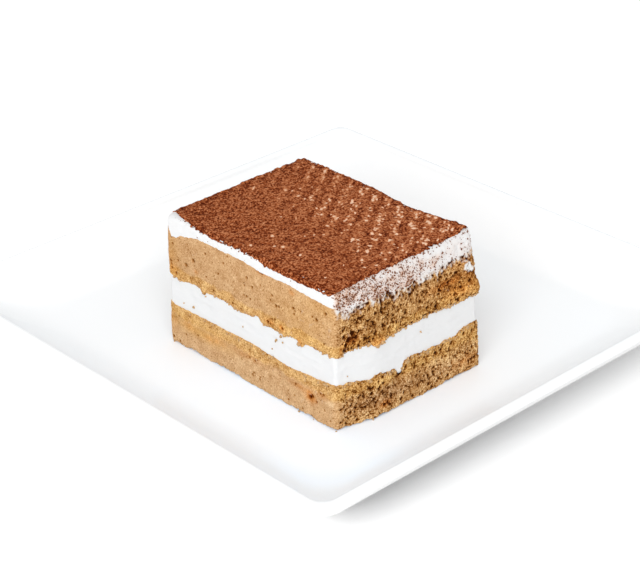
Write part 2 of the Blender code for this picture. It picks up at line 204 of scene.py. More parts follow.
def smooth_noise(points, size, seed):
    """Smooth noise from -1 to 1 whose swells are about a size wide."""
    scaled = points / size
    cells = np.floor(scaled).astype(np.int64)
    fade = ease(scaled - cells)
    total = np.zeros(points.shape[:-1])
    for corner in np.ndindex(2, 2, 2):
        weight = np.prod(np.where(corner, fade, 1.0 - fade), axis=-1)
        total += weight * lattice_value(cells + corner, seed)
    return 2.0 * total - 1.0


def noise_sum(points, seed, *layers):
    """Layers of smooth noise added up, each (amount, size), with seeds that count up."""
    return sum(amount * smooth_noise(points, size, seed + step)
               for step, (amount, size) in enumerate(layers))


def pits(points, size, share, seed):
    """Round pits scattered one to a cell of a size, in a share of the cells: 1 at their bottom."""
    scaled = points / size
    cells = np.floor(scaled).astype(np.int64)
    depth = np.zeros(points.shape[:-1])
    for step in np.ndindex(3, 3, 3):
        cell = cells + (np.array(step) - 1)
        jitter = np.stack([lattice_value(cell, seed + axis) for axis in range(3)], -1)
        distance = np.linalg.norm(cell + jitter - scaled, axis=-1)
        radius = 0.25 + 0.4 * lattice_value(cell, seed + 3)
        held = lattice_value(cell, seed + 4) < share
        depth = np.maximum(depth, held * ease(1.0 - distance / radius))
    return depth


def ease(value):
    """Smooth step from 0 to 1."""
    value = np.clip(value, 0.0, 1.0)
    return value * value * (3.0 - 2.0 * value)


def bump(distance):
    """A bell that is 1 at no distance and fades out by about 2."""
    return np.exp(-distance * distance)


# ---- The portion's plan and faces ----

def side_directions(side):
    """Outward and lengthwise directions of one of four sides, from the front one round to the left."""
    turn = math.radians(90.0 * side - 90.0)
    normal = np.array([math.cos(turn), math.sin(turn)])
    return normal, np.array([-normal[1], normal[0]])


def outline(inset):
    """Stations round the portion's plain rectangle: place, outward direction, face, place along it."""
    half = (PORTION_LENGTH / 2, PORTION_WIDTH / 2)
    radius = max(PORTION_CORNER_RADIUS - inset, 0.4)
    runs = []
    for face in FACES:
        normal, tangent = side_directions(face)
        reach, half_face = (half[1], half[0]) if face in (FRONT, BACK) else half
        run = half_face - inset - radius
        steps = round(2 * (half_face - PORTION_CORNER_RADIUS) / FACE_SPACING[face])
        along = np.linspace(-run, run, steps + 1)
        angle = np.linspace(0.0, math.pi / 2, CORNER_STEPS + 1)[1:-1]
        straight = normal * (reach - inset) + along[:, None] * tangent
        out = np.cos(angle)[:, None] * normal + np.sin(angle)[:, None] * tangent
        corner = normal * (reach - inset - radius) + tangent * run + radius * out
        facing = np.repeat(normal[None], steps + 1, axis=0)
        distance = np.concatenate([along, run + radius * angle]) * (1 if face < BACK else -1)
        runs.append((np.concatenate([straight, corner]), np.concatenate([facing, out]),
                     np.full(len(distance), face), distance))
    place_, out, face, along = (np.concatenate(part) for part in zip(*runs))
    return SimpleNamespace(x=place_[:, 0], y=place_[:, 1], out=out, face=face, along=along)


def face_x_right(y, z):
    """X of the coarse face: it spreads towards its foot and towards its far end."""
    far = (y + PORTION_WIDTH / 2) / PORTION_WIDTH
    foot = RIGHT_FOOT_X + RIGHT_FOOT_SPREAD * ease(far / 0.28)
    top = RIGHT_TOP_X - RIGHT_TOP_FALL * far
    return top + (foot - top) * np.sqrt(np.clip(1.0 - z / PORTION_HEIGHT, 0.0, None))


def face_y_front(x, z):
    """Y of the smooth cut face, whose foot stands out at the right end and back at the left one."""
    left = 0.5 - x / PORTION_LENGTH
    return FRONT_TOP_Y + (0.9 * left - 0.4) * (1.0 - z / PORTION_HEIGHT)


def face_y_back(x, z):
    """Y of the back face, with a shallow hollow along its top edge."""
    here = BACK_HOLLOW_DEPTH * bump((x - BACK_HOLLOW_X) / BACK_HOLLOW_REACH)
    hollow = here * ease(z / PORTION_HEIGHT * 2.0 - 1.0)
    return BACK_FOOT_Y - BACK_TOP_FALL * z / PORTION_HEIGHT - hollow


def place(x, y, z):
    """Points of the plain rectangle moved onto the portion's real plan at their heights."""
    across = 0.5 + x / PORTION_LENGTH
    deep = 0.5 + y / PORTION_WIDTH
    left = LEFT_TOP_X - LEFT_FOOT_SPREAD * (1.0 - z / PORTION_HEIGHT)
    real_x = left + (face_x_right(y, z) - left) * across
    real_y = face_y_front(x, z) + (face_y_back(x, z) - face_y_front(x, z)) * deep
    return np.stack(np.broadcast_arrays(real_x, real_y, z), axis=-1)


def listed(table):
    """The entries of a table by face, each with its face in front."""
    return [(face, *entry) for face, entries in table.items() for entry in entries]


# The stations round the faces, and how far each belongs to each face: shared out round the corners.
RIM = outline(0.0)
RIM_POINTS = np.column_stack([RIM.x, RIM.y, np.zeros(len(RIM.x))])
OUT = np.column_stack([RIM.out, np.zeros(len(RIM.x))])
TOWARDS = np.stack([np.clip(side, 0, None) ** 2 for side in
                    (-RIM.out[:, 1], RIM.out[:, 0], RIM.out[:, 1], -RIM.out[:, 0])])


def by_face(values):
    """One value for each face, blended round the corners into one for each station."""
    return np.array(values) @ TOWARDS


TORN_BY_FACE = (0.0, 1.0, 0.85, 0.1)  # from a smooth knife cut to a torn, coarse crumb
TORN = by_face(TORN_BY_FACE) * (0.35 + 0.65 * ease((RIM.y + 31.5) / 3.0))


def knot_height(knots, along):
    """Height at each distance along a face, easing from knot to knot."""
    at, height = np.array(knots, float).T
    index = np.clip(np.searchsorted(at, along) - 1, 0, len(at) - 2)
    share = ease((along - at[index]) / (at[index + 1] - at[index]))
    return height[index] + (height[index + 1] - height[index]) * share


def smooth_round(values, reach):
    """Values round the portion, each averaged with its neighbours."""
    return sum(np.roll(values, step) for step in range(-reach, reach + 1)) / (2 * reach + 1)


def meeting_line(line, ragged, seed):
    """Height at which two layers meet at each station, with an edge as ragged as each face's value."""
    height = np.zeros(len(RIM.x))
    for face in FACES:
        here = RIM.face == face
        along = RIM.along[here]
        if face in line:
            height[here] = knot_height(line[face], along)
        else:
            wave = np.sin(along / 3.1 + 2.0 * face) + 0.5 * np.sin(along / 1.7 + face)
            height[here] = line["mean"] + 0.5 * wave
    height = smooth_round(height, 3)
    points = np.column_stack([RIM.x, RIM.y, height])
    return height + by_face(ragged) * noise_sum(points, seed, (0.7, 1.7), (0.8, 0.85), (0.4, 0.5))


def patch_strength(patches, points):
    """How strongly a look's patches cover each point of the cut faces."""
    strength = np.zeros(points.shape[:-1])
    for face, along, height, half_length, half_height, amount in listed(patches):
        distance = np.hypot((RIM.along - along) / half_length, (points[..., 2] - height) / half_height)
        strength += amount * TOWARDS[face] * bump(distance)
    return strength


def face_relief(z):
    """Outward depth of the dents and lumps at each point of the cut faces."""
    depth = np.zeros(z.shape)
    for face, along, height, out, radius in listed(FACE_FEATURES):
        distance = np.hypot(RIM.along - along, z - height) / radius
        depth += (RIM.face == face) * out * bump(distance)
    return depth


def edge_drop(to_edge, radius):
    """How far the rounded top edge lies below the top at a distance inwards from the face."""
    outward = np.clip(1.0 - to_edge / radius, 0.0, 1.0)
    return radius * (1.0 - np.sqrt(1.0 - outward * outward))


def cream_height(x, y):
    """Height of the cream's top surface away from its edges, under the powder."""
    swell = 0.25 * np.sin(x / 9.0 + 0.6) * np.sin(y / 8.0 - 0.4)
    return PORTION_HEIGHT - POWDER_THICKNESS - 0.15 + 0.6 * swell


# ---- Meshes ----

def add_object(name, data):
    """A new object in the scene."""
    added = bpy.data.objects.new(name, data)
    bpy.context.scene.collection.objects.link(added)
    return added


def add_piece(name, vertices, faces, material, replaced=(), at=(0.0, 0.0, 0.0), masks=None):
    """A shown mesh from points in millimetres and faces, riding on the part's one body."""
    mesh = bpy.data.meshes.new(name)
    mesh.from_pydata((np.asarray(vertices) + at) * MM, [], faces)
    for mask, values in (masks or {}).items():
        layer = mesh.attributes.new(mask, "FLOAT", "POINT")
        layer.data.foreach_set("value", np.asarray(values, np.float32).ravel())
    mesh.materials.append(material)
    mesh.shade_smooth()
    mesh.validate()
    piece = add_object(name, mesh)
    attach(piece, "root")
    if replaced:
        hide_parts(*replaced)
    return piece


def band(lower, upper):
    """Faces that look outwards between rings of vertices and the rings above them."""
    return np.stack([lower, np.roll(lower, -1, -1), np.roll(upper, -1, -1), upper], -1).reshape(-1, 4)


def fan(ring, middle):
    """Faces that look down between a ring of vertices and the one in its middle."""
    return np.stack([np.roll(ring, -1), ring, np.full(len(ring), middle)], -1)


def add_stack(name, rings, material, replaced, at, masks=None):
    """A closed piece from rings of points, bottom first.  The masks' rows begin at the second ring."""
    rings = np.asarray(rings)
    index = np.arange(rings[..., 0].size).reshape(rings.shape[:2])
    top = fan(index[-1], index.size + 1)[:, [1, 0, 2]]
    faces = [*band(index[:-1], index[1:]).tolist(), *fan(index[0], index.size).tolist(), *top.tolist()]
    full = {}
    for mask, values in (masks or {}).items():
        padded = np.zeros(rings.shape[:2])
        padded[1:1 + len(values)] = values
        full[mask] = np.append(padded.ravel(), [0.0, 0.0])
    vertices = np.concatenate([rings.reshape(-1, 3), [rings[0].mean(0), rings[-1].mean(0)]])
    return add_piece(name, vertices, faces, material, replaced, at, full)


def side_grid(low, high, spacing=SPACING):
    """Share of the height and plain surface points of a layer's side, as rows of stations."""
    rows = round(float(np.mean(high - low)) / spacing)
    share = np.linspace(0.0, 1.0, rows + 1)[:, None]
    return share, place(RIM.x, RIM.y, low + (high - low) * share)


def push(points, out):
    """Points moved out of the cut faces."""
    return points + out[..., None] * OUT


def flat_cap(height):
    """The flat inner ring of a layer's top or bottom."""
    station = outline(CAP_INSET)
    return place(station.x, station.y, height)


def nearest(points, face, along, height):
    """Row and station of the point nearest to a place on a cut face."""
    distance = np.hypot(RIM.along - along, points[..., 2] - height) + 1e3 * (RIM.face != face)
    return np.unravel_index(distance.argmin(), distance.shape)


def dig(points, out, holes, spots):
    """Digs one round hole for each (row, station, radius, depth) into out, and marks it in holes."""
    rows, count = out.shape
    for row, station, radius, depth in spots:
        reach = int(radius / SPACING) + 2
        near_rows = np.arange(max(row - reach, 0), min(row + reach + 1, rows))
        near = np.ix_(near_rows, np.arange(station - reach, station + reach + 1) % count)
        distance = np.linalg.norm(points[near] - points[row, station], axis=-1) / radius
        hollow = ease(1.35 * (1.0 - distance))
        out[near] = np.minimum(out[near], out[row, station] * hollow + out[near] * (1 - hollow))
        out[near] -= depth * hollow
        holes[near] = np.maximum(holes[near], hollow)


# ---- Sponge ----

# Height at which the crumb turns golden and on which side of it, tone of its beige part, how strongly
# cream is smeared over its torn upper edge, and first seed.
LOWER_SPONGE = SimpleNamespace(golden_height=10.8, golden_above=True, beige=0.73, smeared=0.0, seed=101)
UPPER_SPONGE = SimpleNamespace(golden_height=31.5, golden_above=False, beige=0.695, smeared=1.0, seed=201)
FULLNESS = 0.35  # how far the crumb swells out past its edges

# Pores of the crumb: how many are tried to a square millimetre, least and greatest radius and depth.
LARGE_PORES = (0.11, (0.4, 0.95), (0.4, 1.1))
SMALL_PORES = (0.3, (0.25, 0.45), (0.25, 0.55))


def random_holes(shape, density, radii, depths, random):
    """Holes strewn over a layer's side: denser, wider and deeper where the crumb is torn."""
    rows, count = shape
    number = int(density * rows * count * SPACING ** 2)
    row = random.integers(0, rows, number)
    station = random.integers(0, count, number)
    size = random.random(number) ** 2
    torn = TORN[station]
    kept = random.random(number) < 0.3 + 0.7 * torn
    radius = (radii[0] + (radii[1] - radii[0]) * size) * (0.65 + 0.35 * torn)
    depth = (depths[0] + (depths[1] - depths[0]) * size) * (0.5 + 0.5 * torn)
    return [spot for spot, keep in zip(zip(row, station, radius, depth), kept) if keep]


def crack_holes(points):
    """A thin upright crack as a run of small holes."""
    spots = []
    for (start, high), (end, low) in zip(CRACK, CRACK[1:]):
        for share in np.linspace(0.0, 1.0, 5):
            spot = nearest(points, RIGHT, start + (end - start) * share, high + (low - high) * share)
            spots.append((*spot, CRACK_RADIUS, CRACK_DEPTH))
    return spots


def dig_sponge(points, out, random):
    """Digs a sponge's pores, single holes and crack into out; returns how deep in one each point lies."""
    z = points[..., 2]
    spots = random_holes(out.shape, *LARGE_PORES, random) + random_holes(out.shape, *SMALL_PORES, random)
    spots += [(*nearest(points, face, along, height), radius, depth)
              for face, along, height, radius, depth in listed(HOLES) if z.min() < height < z.max()]
    if z.min() < CRACK[-1][1] and z.max() > CRACK[0][1]:
        spots += crack_holes(points)
    holes = np.zeros(out.shape)
    dig(points, out, holes, spots)
    return holes


def foot_lift():
    """How far the ragged foot of each face stays off the plate."""
    return np.clip(0.62 + noise_sum(RIM_POINTS, 91, (0.4, 5.0), (0.4, 1.9), (0.25, 0.8)), 0.0, None)


def crumb_relief(points, seed):
    """Slow and grainy outward relief of a torn crumb, and how deep each point lies in a small hole."""
    slow = noise_sum(points, seed, (0.28, 3.2), (0.2, 1.6))
    grains = noise_sum(points, seed + 2, (0.26, 0.85), (0.16, 0.5))
    cavity = noise_sum(points, seed + 4, (0.6, 1.0), (0.55, 0.55))
    return slow, grains, ease((cavity - 0.24) / 0.25)


def white_smears(layer, points, high, grains, pit, holes):
    """Where cream is smeared white over the crumb: in patches, and under the torn face's upper edge."""
    patches = patch_strength(WHITE_PATCHES, points)
    patches = patches + 0.5 * smooth_noise(points, 0.9, layer.seed + 10) - 0.35
    edge = points[..., 2] - high + 2.5 + 1.8 * smooth_noise(points, 1.2, layer.seed + 11)
    smear = ease(edge / 2.2) * TOWARDS[RIGHT] * layer.smeared
    smear = smear * ease(0.62 + 1.2 * grains) * (1.0 - 0.7 * pit)
    return np.clip(np.maximum(ease(2.2 * patches), smear), 0.0, 1.0) * (1.0 - ease(2.2 * holes))


def add_sponge(name, node, layer, low, high, caps):
    """A sponge layer: crumb relief, holes, and masks for its tones."""
    share, points = side_grid(low, high)
    z = points[..., 2]
    seed = layer.seed
    wander = noise_sum(points, seed + 6, (1.0, 5.0), (0.5, 1.6))
    above = (z - layer.golden_height - 1.1 * wander) / 1.6
    golden = ease(above if layer.golden_above else -above)
    corner = 4.0 * TOWARDS[FRONT] * TOWARDS[RIGHT]
    rough = np.maximum(TORN + (1.0 - TORN) * (0.19 + 0.32 * golden), 0.4 * corner)
    rough *= 1.0 + 0.3 * smooth_noise(points, 4.0, seed + 12)
    swell = np.sin(np.pi * np.clip(share, 0.004, 0.996)) ** 0.4

    slow, grains, pit = crumb_relief(points, seed)
    out = FULLNESS + rough * (slow + grains - 0.5 * pit * rough) + face_relief(z)
    out += 0.45 * corner * smooth_noise(points, 1.5, seed + 9)
    holes = dig_sponge(points, out, np.random.default_rng(seed))
    white = white_smears(layer, points, high, grains, pit, holes)
    side = push(points, out * swell + 0.2 * white)

    # The torn faces' tone is lower partly for their coarser crumb and partly as painted shade, darker
    # than the smooth face as if less lit.
    tone = layer.beige - 0.108 * TORN + 0.02 * golden
    # Painted light and shade: the tone follows the crumb's relief, lighter on raised grains and darker in
    # hollows.
    tone = tone + rough * (0.55 * grains + 0.4 * slow - 0.40 * pit * rough)
    tone += (0.07 + 0.05 * TORN) * smooth_noise(points, 2.4, seed + 8)
    # Painted shade: the holes get a darker tone here and more gold just below, so they read dark and
    # saturated.
    tone += patch_strength(PALE_PATCHES, points) - (0.6 + 0.3 * TORN) * holes
    golden = 0.75 * golden + 0.55 * TORN + holes + patch_strength(GOLDEN_PATCHES, points)
    warm = patch_strength(WARM_PATCHES, points) * (1.0 + 0.8 * wander)
    masks = {"tone": tone, "golden": np.clip(golden, 0.0, 1.0), "warm": np.clip(warm, 0.0, 1.0),
             "white": white, "grain": (0.14 + 0.42 * rough) * (1.0 - 0.75 * holes)}
    rings = np.concatenate([[caps[0]], side, [caps[1]]])
    add_stack(name, rings, SPONGE, (node,), STAND, masks)
    return side


# ---- Materials ----

# Grain of the crumb's tone: amount, size, shift and detail of each noise.
CRUMB_GRAIN = ((2.5, 0.5, 3.0, 1.0), (2.2, 0.3, 5.0, 1.0), (0.8, 2.6, 1.0, 2.0))
CRUMB_RAMP = ((0.0, (0.055, 0.013, 0.002)), (0.1, (0.12, 0.034, 0.005)), (0.25, (0.22, 0.078, 0.014)),
              (0.5, (0.42, 0.20, 0.065)), (0.75, (0.64, 0.37, 0.165)), (1.0, (0.90, 0.62, 0.33)))
BEIGE_TINT = (0.965, 1.012, 1.14)
YELLOW_TINT = (1.02, 0.985, 0.74)
BROWNED_TINT = (1.06, 0.76, 0.46)
COCOA_RAMP = ((0.0, (0.07, 0.008, 0.001)), (0.25, (0.155, 0.025, 0.004)), (0.5, (0.285, 0.069, 0.019)),
              (0.72, (0.405, 0.118, 0.040)), (0.86, (0.55, 0.21, 0.09)), (0.96, (0.71, 0.35, 0.185)),
              (1.0, (0.85, 0.56, 0.39)))
CREAM_WHITES = (0.795, 0.798, 0.80), (0.825, 0.828, 0.83)
DUST_VEIL = (0.66, 0.33, 0.155)
DUST_SPECK = (0.23, 0.07, 0.02)


class Nodes:
    """A node material being wired, with a short way to add each kind of node."""

    def __init__(self, name, roughness, specular=0.5):
        self.material = bpy.data.materials.new(name)
        self.material.use_nodes = True
        self.tree = self.material.node_tree
        self.shader = self.tree.nodes["Principled BSDF"]
        self.give("Roughness", roughness)
        self.give("Specular IOR Level", specular)
        self.place = self.tree.nodes.new("ShaderNodeTexCoord").outputs["Object"]

    def wire(self, value, socket):
        """Links an output to a socket, or sets the socket's constant."""
        if isinstance(value, bpy.types.NodeSocket):
            self.tree.links.new(value, socket)
        else:
            socket.default_value = value

    def give(self, name, value):
        """Links an output to one of the shader's sockets, or sets the socket's constant."""
        self.wire(value, self.shader.inputs[name])

    def add(self, kind, *values, **settings):
        """A new node with its settings made and its first inputs wired."""
        node = self.tree.nodes.new("ShaderNode" + kind)
        for setting, value in settings.items():
            setattr(node, setting, value)
        for value, socket in zip(values, node.inputs):
            self.wire(value, socket)
        return node

    def mask(self, name):
        return self.add("Attribute", attribute_name=name).outputs["Fac"]

    def noise(self, size, detail=2.0, shift=0.0):
        """Noise from 0 to 1 with features of a size in millimetres."""
        values = (self.place, shift, 1.0 / (size * MM), detail)
        return self.add("TexNoise", *values, noise_dimensions="4D").outputs["Fac"]

    def maths(self, operation, first, second=0.0, third=0.0):
        return self.add("Math", first, second, third, operation=operation).outputs[0]

    def steps(self, value, low, high, to_low=0.0, to_high=1.0):
        """A value eased from to_low to to_high as it goes from low to high."""
        values = (value, low, high, to_low, to_high)
        return self.add("MapRange", *values, interpolation_type="SMOOTHSTEP").outputs[0]

    def mix(self, share, first, second, blend="MIX"):
        """Two colours mixed by a share."""
        node = self.add("Mix", share, data_type="RGBA", blend_type=blend)
        for colour, index in ((first, 6), (second, 7)):
            opaque = colour if isinstance(colour, bpy.types.NodeSocket) else (*colour, 1.0)
            self.wire(opaque, node.inputs[index])
        return node.outputs[2]

    def tint(self, colour, factors):
        """A colour multiplied by a factor for each channel."""
        return self.mix(1.0, colour, factors, "MULTIPLY")

    def ramp(self, value, stops):
        """A colour that goes through the stops, each (value, colour)."""
        node = self.add("ValToRGB", value)
        elements = node.color_ramp.elements
        while len(elements) < len(stops):
            elements.new(1.0)
        for element, (position, colour) in zip(elements, stops):
            element.position = position
            element.color = (*colour, 1.0)
        return node.outputs[0]

    def vary(self, tone, amount, size, shift, detail=1.0):
        """A tone shifted up and down by noise, by an amount that may be a mask."""
        wave = self.maths("SUBTRACT", self.noise(size, detail, shift), 0.5)
        return self.maths("MULTIPLY_ADD", wave, amount, tone)

    def bump(self, height, strength, distance):
        """Bumps the surface by a height; the distance is in millimetres."""
        node = self.add("Bump", strength, distance * MM)
        self.wire(height, node.inputs["Height"])
        self.give("Normal", node.outputs["Normal"])


def porcelain():
    """White glaze over china, bare on the foot's edge."""
    nodes = Nodes("porcelain", 0.2, 0.1)
    height = nodes.add("SeparateXYZ", nodes.place).outputs["Z"]
    bare = nodes.steps(height, 0.35 * MM, 0.15 * MM)
    nodes.give("Base Color", nodes.mix(bare, (0.915, 0.918, 0.92), (0.70, 0.68, 0.64)))
    nodes.give("Roughness", nodes.maths("MULTIPLY_ADD", bare, 0.55, 0.26))
    return nodes.material


def sponge():
    """Baked crumb, pale where the knife smeared it; painted light and shade follow its relief and darken
    its holes and, in part, its torn faces.
    """
    nodes = Nodes("sponge", 0.95, 0.06)
    grain = nodes.mask("grain")
    tone = nodes.mask("tone")
    for amount, *swells in CRUMB_GRAIN:
        tone = nodes.vary(tone, nodes.maths("MULTIPLY", grain, amount), *swells)
    crumb = nodes.ramp(tone, CRUMB_RAMP)
    baked = nodes.mix(nodes.mask("golden"), nodes.tint(crumb, BEIGE_TINT), nodes.tint(crumb, YELLOW_TINT))
    baked = nodes.mix(nodes.mask("warm"), baked, nodes.tint(baked, BROWNED_TINT))
    nodes.give("Base Color", nodes.mix(nodes.mask("white"), baked, (0.80, 0.795, 0.785)))
    nodes.bump(nodes.noise(0.3, 4.0, 7.0), 0.5, 0.12)
    return nodes.material


def cream():
    """Whipped cream: soft white with a faint sheen, and cocoa dust where the dust mask says."""
    nodes = Nodes("cream", 0.5, 0.3)
    dust = nodes.mask("dust")
    veil = nodes.maths("MULTIPLY", dust, nodes.steps(nodes.noise(1.1, 3.0, 9.0), 0.1, 0.7))
    white = nodes.mix(nodes.noise(4.0), *CREAM_WHITES)
    veiled = nodes.mix(nodes.maths("MULTIPLY", veil, 0.98), white, DUST_VEIL)
    limit = nodes.maths("SUBTRACT", 0.757, nodes.maths("MULTIPLY", dust, 0.24))
    speck = nodes.steps(nodes.noise(0.25, 2.0, 5.0), limit, nodes.maths("ADD", limit, 0.06))
    speck = nodes.maths("MULTIPLY", speck, nodes.steps(dust, 0.02, 0.2))
    nodes.give("Base Color", nodes.mix(speck, veiled, DUST_SPECK))
    nodes.bump(nodes.noise(0.8, 3.0, 2.0), 0.3, 0.12)
    return nodes.material


def cocoa():
    """Dry cocoa powder, dark where it lies thick and pale where the cream shines through, with painted
    light on its clumps and painted shade in its pits.
    """
    nodes = Nodes("cocoa", 0.95, 0.08)
    tone = nodes.vary(nodes.vary(nodes.mask("tone"), 2.0, 0.8, 3.0), 2.1, 0.5, 6.0)
    tone = nodes.maths("MINIMUM", tone, 0.84)
    thin = nodes.mask("thin")
    thin = nodes.steps(nodes.vary(thin, thin, 0.6, 9.0), 0.06, 0.57)
    tone = nodes.maths("MULTIPLY_ADD", nodes.maths("SUBTRACT", 1.0, tone), thin, tone)
    nodes.give("Base Color", nodes.ramp(tone, COCOA_RAMP))
    nodes.bump(nodes.noise(0.28, 4.0, 8.0), 0.6, 0.12)
    return nodes.material


def lump(name, colour, roughness):
    """A material for small grains and crumbs, with grain of its own."""
    nodes = Nodes(name, roughness)
    darker = tuple(0.55 * value for value in colour)
    nodes.give("Base Color", nodes.mix(nodes.steps(nodes.noise(0.6, 3.0), 0.3, 0.7), darker, colour))
    nodes.bump(nodes.noise(0.2, 3.0, 2.0), 0.5, 0.1)
    return nodes.material


# ---- Plate ----

PLATE_CORNER_STEPS = 24
PLATE_SIDE_STEPS = 24


def rounded_square(inset, height):
    """Outline of the plate at an inset from its lip's outer edge."""
    half = PLATE_SIDE / 2 - inset
    radius = PLATE_CORNER_RADIUS + PLATE_CORNER_GROWTH * inset
    run = half - radius
    ring = []
    for side in FACES:
        normal, tangent = side_directions(side)
        for along in np.linspace(-run, run, PLATE_SIDE_STEPS, endpoint=False):
            ring.append([*(normal * half + tangent * along), height])
        for angle in np.linspace(0.0, math.pi / 2, PLATE_CORNER_STEPS, endpoint=False):
            out = math.cos(angle) * normal + math.sin(angle) * tangent
            ring.append([*(normal * run + tangent * run + radius * out), height])
    return np.array(ring)


def plate_profile():
    """(inset, height) from the middle of the underside, out round the lip, to the well."""
    foot_in = FOOT_INSET + FOOT_WIDTH
    profile = [(foot_in + 1.4, FOOT_RECESS), (foot_in + 0.3, 2.3), (foot_in, 1.7), (foot_in, 0.5),
               (foot_in - 0.15, 0.15), (foot_in - 0.5, 0.0), (FOOT_INSET + 0.5, 0.0),
               (FOOT_INSET + 0.15, 0.15), (FOOT_INSET, 0.5), (FOOT_INSET - 0.3, 1.6),
               (FOOT_INSET - 1.2, 2.7)]
    lip_base = LIP_HEIGHT - LIP_ROUNDING
    for share in np.linspace(0.0, 1.0, 24):
        rise = (lip_base - UNDERSIDE_HEIGHT) * share ** 2.6
        profile.append((UNDERSIDE_INSET * (1.0 - share), UNDERSIDE_HEIGHT + rise))
    for angle in np.linspace(0.0, math.pi, 16)[1:-1]:
        inset = LIP_THICKNESS / 2 * (1.0 - math.cos(angle))
        profile.append((inset, lip_base + LIP_ROUNDING * math.sin(angle)))
    for share in np.linspace(0.0, 1.0, 28):
        inset = LIP_THICKNESS + (WELL_INSET - LIP_THICKNESS) * share
        profile.append((inset, WELL_HEIGHT + (lip_base - 0.3 - WELL_HEIGHT) * (1.0 - share) ** 2))
    return profile


def add_plate():
    rings = [rounded_square(inset, height) for inset, height in plate_profile()]
    return add_stack("plate_glazed", rings, porcelain(), ("plate",), (0.0, 0.0, 0.0))


# ---- Cream ----

CREAM_SETBACK = 0.35  # of the middle cream behind the sponges' faces


def add_cream_middle(low, high):
    """The cream between the sponges: a little set back, with soft drag marks."""
    share, points = side_grid(low - CREAM_OVERLAP, high + CREAM_OVERLAP, 0.45)
    swell = np.sin(np.pi * np.clip(share, 0.0, 1.0)) ** 0.5
    drag = points * (0.35, 0.35, 1.3)
    out = -CREAM_SETBACK + 0.16 * smooth_noise(drag, 1.6, 21) + 0.07 * smooth_noise(points, 1.3, 22)
    out += 0.3 * face_relief(points[..., 2])
    side = push(points, out * swell - 0.05)
    rings = np.concatenate([[flat_cap(LOWER_LINE["mean"])], side, [flat_cap(MIDDLE_LINE["mean"])]])
    add_stack("cream_middle_spread", rings, CREAM, ("cream_middle",), STAND)
    return side


def rim_inset():
    """How far the cocoa's ragged rim stays back from the cream's edge at each station."""
    teeth = noise_sum(RIM_POINTS, 31, (0.3, 1.4), (0.25, 0.62))
    from_bare = np.clip(1.0 - (RIM.along + PORTION_LENGTH / 2) / COCOA_BARE_LENGTH, 0.0, 1.0)
    bare = COCOA_BARE_END * from_bare ** 1.3 * (RIM.face == FRONT)
    return np.clip(by_face(COCOA_RIM_INSET) + teeth, 0.02, None) + bare


def dust_amount(points):
    """How thickly cocoa dust lies on the top cream's side: most near the coarse face's near corner."""
    y, z = points[..., 1], points[..., 2]
    edge = 16.2 - 2.6 * np.abs(z - 45.8) + 4.0 * smooth_noise(points, 4.0, 43)
    right = 0.22 + (0.50 + 0.06 * ease((2.0 - y) / 30.0)) * ease((edge - y + 3.0) / 8.0)
    clean_spot = 0.9 * bump((y + 24.5) / 4.0) * bump((z - 43.0) / 1.6)
    under_rim = 0.45 * ease((y + 26.0) / 8.0) * ease((z - 46.8) / 1.2)
    right *= 1.0 - clean_spot
    right *= 1.0 - under_rim
    front = 0.03 * smooth_noise(points, 6.0, 41)
    faces = np.stack([front, right, 0.6 * right + 0.1, front + 0.1])
    patchy = 0.8 + 0.45 * smooth_noise(points, 2.2, 42)
    return np.clip((faces * TOWARDS[:, None, :]).sum(0) * patchy, 0.0, 1.0)


def add_cream_top(low):
    """The top cream: draped side, rounded edge, and the surface under the powder."""
    from_corner = np.hypot(RIM.x + PORTION_LENGTH / 2, RIM.y + PORTION_WIDTH / 2)
    radius = by_face(EDGE_RADIUS) + CORNER_ROUNDING * bump(from_corner / CORNER_REACH)
    edge = cream_height(RIM.x, RIM.y) - radius
    share, points = side_grid(low - CREAM_OVERLAP, edge)
    swell = np.sin(np.pi * np.clip(share * 0.62, 0.0, 1.0)) ** 0.5
    out = 0.15 + (0.5 + 0.5 * TORN) * noise_sum(points, 23, (0.30, 2.2), (0.16, 0.9))
    side = push(points, out * swell)
    shoulder = []
    for angle in np.linspace(0.0, math.pi / 2, 9)[1:]:
        back = radius * (1.0 - math.cos(angle))
        ring = place(RIM.x - RIM.out[:, 0] * back, RIM.y - RIM.out[:, 1] * back,
                     edge + radius * math.sin(angle))
        shoulder.append(ring + math.cos(angle) * (side[-1] - points[-1]))
    inner = []
    for station in map(outline, TOP_INSETS):
        inner.append(place(station.x, station.y, cream_height(station.x, station.y)))
    skin = np.concatenate([side, shoulder])
    rings = np.concatenate([[flat_cap(UPPER_LINE["mean"])], skin, inner])
    masks = {"dust": dust_amount(skin)}
    add_stack("cream_top_spread", rings, CREAM, ("cream_top",), STAND, masks)
    return skin


# ---- Cocoa ----

ROW_TURN = math.radians(-56.0)  # of the faint rows, which run towards +X and -Y
ROW_COS, ROW_SIN = math.cos(ROW_TURN), math.sin(ROW_TURN)
ROW_SPACING = 5.5
STREAKS = 1250
COCOA_STEP = 0.28
COCOA_TONE = 0.585
HANG_SHARES = (0.35, 0.7, 1.0)  # of the way down to the powder's hem

